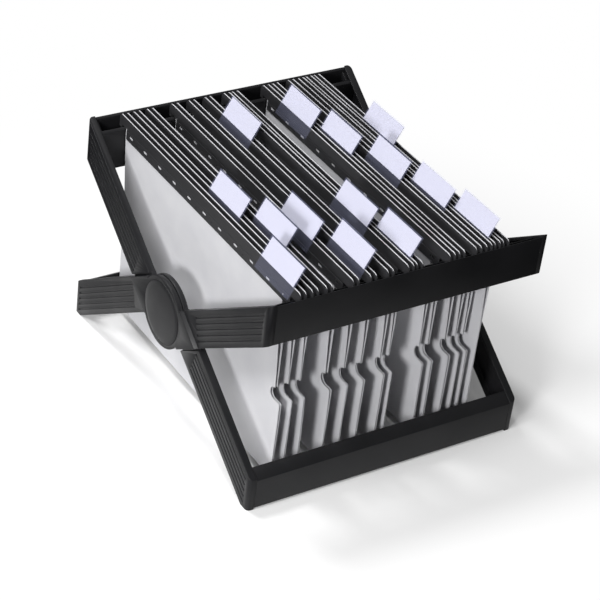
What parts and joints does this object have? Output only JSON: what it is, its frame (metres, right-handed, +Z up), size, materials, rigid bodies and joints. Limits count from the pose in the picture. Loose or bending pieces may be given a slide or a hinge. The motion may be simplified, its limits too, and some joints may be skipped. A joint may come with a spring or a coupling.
{
  "type": "portable file box",
  "caption": "Folding X-frame desk stand with suspension files and index tabs hanging between its top rails.",
  "frame": {"origin": "on the floor, under the middle of the pivot axis", "axes": "+Z up, +Y along the pivot axis, +X towards the front; the files hang along X, the left side is at -Y"},
  "size_m": [0.365, 0.3282, 0.2617],
  "materials": {
    "frame_plastic": "satin, fine moulded grain",
    "cap_plastic": "satin, plain",
    "pivot_steel": "turned",
    "washer_nylon": "natural nylon",
    "rod_plastic": "satin extruded strip",
    "file_card": "plain pale card",
    "tab_plastic": "clear sheet over a white paper label"
  },
  "bodies": {
    "outer_frame": {"outer_side_left": "frame_plastic", "pivot_pin_left": "pivot_steel", "pivot_washer_left": "washer_nylon", "pin_retainer_left": "pivot_steel", "hub_cap_left": "cap_plastic", "outer_side_right": "frame_plastic", "pivot_pin_right": "pivot_steel", "pivot_washer_right": "washer_nylon", "pin_retainer_right": "pivot_steel", "hub_cap_right": "cap_plastic", "outer_front_top_bar": "frame_plastic", "outer_front_hook_rail": "frame_plastic", "outer_rear_foot_bar": "frame_plastic"},
    "inner_frame": {"inner_side_left": "frame_plastic", "inner_side_right": "frame_plastic", "inner_rear_top_bar": "frame_plastic", "inner_rear_hook_rail": "frame_plastic", "inner_front_foot_bar": "frame_plastic"},
    "file_01": {"file_01_card": "file_card", "file_01_rods": "rod_plastic", "file_01_tab": "tab_plastic"},
    "file_02": {"file_02_card": "file_card", "file_02_rods": "rod_plastic", "file_02_tab": "tab_plastic"},
    "file_03": {"file_03_card": "file_card", "file_03_rods": "rod_plastic", "file_03_tab": "tab_plastic"},
    "file_04": {"file_04_card": "file_card", "file_04_rods": "rod_plastic", "file_04_tab": "tab_plastic"},
    "file_05": {"file_05_card": "file_card", "file_05_rods": "rod_plastic", "file_05_tab": "tab_plastic"},
    "file_06": {"file_06_card": "file_card", "file_06_rods": "rod_plastic", "file_06_tab": "tab_plastic"},
    "file_07": {"file_07_card": "file_card", "file_07_rods": "rod_plastic", "file_07_tab": "tab_plastic"},
    "file_08": {"file_08_card": "file_card", "file_08_rods": "rod_plastic", "file_08_tab": "tab_plastic"},
    "file_09": {"file_09_card": "file_card", "file_09_rods": "rod_plastic", "file_09_tab": "tab_plastic"},
    "file_10": {"file_10_card": "file_card", "file_10_rods": "rod_plastic", "file_10_tab": "tab_plastic"},
    "file_11": {"file_11_card": "file_card", "file_11_rods": "rod_plastic", "file_11_tab": "tab_plastic"},
    "file_12": {"file_12_card": "file_card", "file_12_rods": "rod_plastic", "file_12_tab": "tab_plastic"},
    "file_13": {"file_13_card": "file_card", "file_13_rods": "rod_plastic", "file_13_tab": "tab_plastic"},
    "file_14": {"file_14_card": "file_card", "file_14_rods": "rod_plastic", "file_14_tab": "tab_plastic"}
  },
  "joints": [
    {"name": "frame_fold", "type": "hinge", "parent": "outer_frame", "child": "inner_frame", "pos_m": [0, 0, 0.1166], "axis": [0, 1, 0], "range_deg": [0, 110], "deforming": ["file_01_card", "file_01_rods", "file_01_tab", "file_02_card", "file_02_rods", "file_02_tab", "file_03_card", "file_03_rods", "file_03_tab", "file_04_card", "file_04_rods", "file_04_tab", "file_05_card", "file_05_rods", "file_05_tab", "file_06_card", "file_06_rods", "file_06_tab", "file_07_card", "file_07_rods", "file_07_tab", "file_08_card", "file_08_rods", "file_08_tab", "file_09_card", "file_09_rods", "file_09_tab", "file_10_card", "file_10_rods", "file_10_tab", "file_11_card", "file_11_rods", "file_11_tab", "file_12_card", "file_12_rods", "file_12_tab", "file_13_card", "file_13_rods", "file_13_tab", "file_14_card", "file_14_rods", "file_14_tab"]},
    {"name": "files_lift", "type": "slide", "parent": "outer_frame", "child": "file_01", "axis": [0, 0, 1], "range_m": [0, 0.33]},
    {"name": "file_02_slide", "type": "slide", "parent": "file_01", "child": "file_02", "axis": [0, 1, 0], "range_m": [-0.00094, 0.00136]},
    {"name": "file_03_slide", "type": "slide", "parent": "file_01", "child": "file_03", "axis": [0, 1, 0], "range_m": [-0.00136, 0.00596]},
    {"name": "file_04_slide", "type": "slide", "parent": "file_01", "child": "file_04", "axis": [0, 1, 0], "range_m": [-0.00596, 0.00222]},
    {"name": "file_05_slide", "type": "slide", "parent": "file_01", "child": "file_05", "axis": [0, 1, 0], "range_m": [-0.00222, 0.00216]},
    {"name": "file_06_slide", "type": "slide", "parent": "file_01", "child": "file_06", "axis": [0, 1, 0], "range_m": [-0.00216, 0.00356]},
    {"name": "file_07_slide", "type": "slide", "parent": "file_01", "child": "file_07", "axis": [0, 1, 0], "range_m": [-0.00356, 0.00026]},
    {"name": "file_08_slide", "type": "slide", "parent": "file_01", "child": "file_08", "axis": [0, 1, 0], "range_m": [-0.00026, 0.00956]},
    {"name": "file_09_slide", "type": "slide", "parent": "file_01", "child": "file_09", "axis": [0, 1, 0], "range_m": [-0.00956, 0.00052]},
    {"name": "file_10_slide", "type": "slide", "parent": "file_01", "child": "file_10", "axis": [0, 1, 0], "range_m": [-0.00052, 0.00224]},
    {"name": "file_11_slide", "type": "slide", "parent": "file_01", "child": "file_11", "axis": [0, 1, 0], "range_m": [-0.00224, 0.00076]},
    {"name": "file_12_slide", "type": "slide", "parent": "file_01", "child": "file_12", "axis": [0, 1, 0], "range_m": [-0.00076, 0.00028]},
    {"name": "file_13_slide", "type": "slide", "parent": "file_01", "child": "file_13", "axis": [0, 1, 0], "range_m": [-0.00028, 0.00028]},
    {"name": "file_14_slide", "type": "slide", "parent": "file_01", "child": "file_14", "axis": [0, 1, 0], "range_m": [-0.00028, 0.012]}
  ],
  "couplings": [
    {"joint": "files_lift", "follows": "frame_fold", "m_per_rad": 0.1714}
  ]
}
